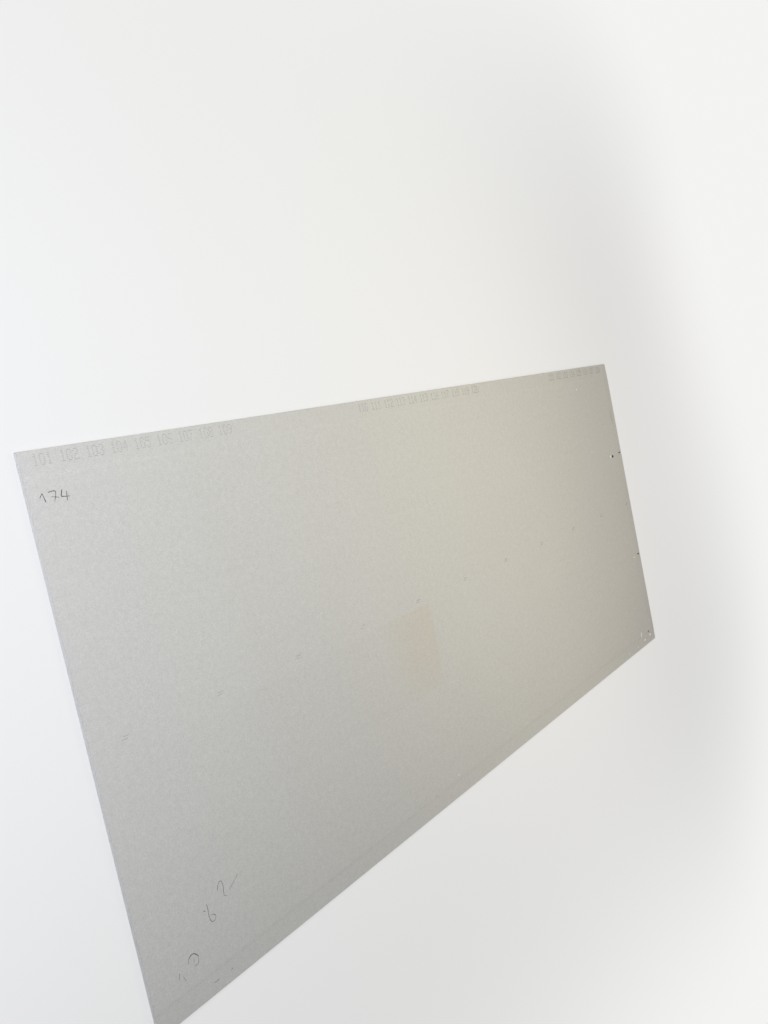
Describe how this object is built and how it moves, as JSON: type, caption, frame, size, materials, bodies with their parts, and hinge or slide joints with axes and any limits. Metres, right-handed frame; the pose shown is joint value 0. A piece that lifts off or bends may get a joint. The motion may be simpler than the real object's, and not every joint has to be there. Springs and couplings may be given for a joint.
{
  "type": "drywall sheet",
  "caption": "Flat rectangular gypsum board in a paper wrap, with a shallow taper along both long edges of its front face and square-cut ends.",
  "frame": {"origin": "middle of the back face, which is the face that the sheet lies on", "axes": "+X along the length, away from the end that is nearest in the picture; +Y across the width, towards the long edge that is uppermost in the picture; +Z out of the front face"},
  "size_m": [2.6, 1.2, 0.0125],
  "materials": {
    "face_paper": "matt light grey lining paper, slightly warm"
  },
  "bodies": {
    "root": {"drywall_sheet": "face_paper"}
  },
  "joints": []
}
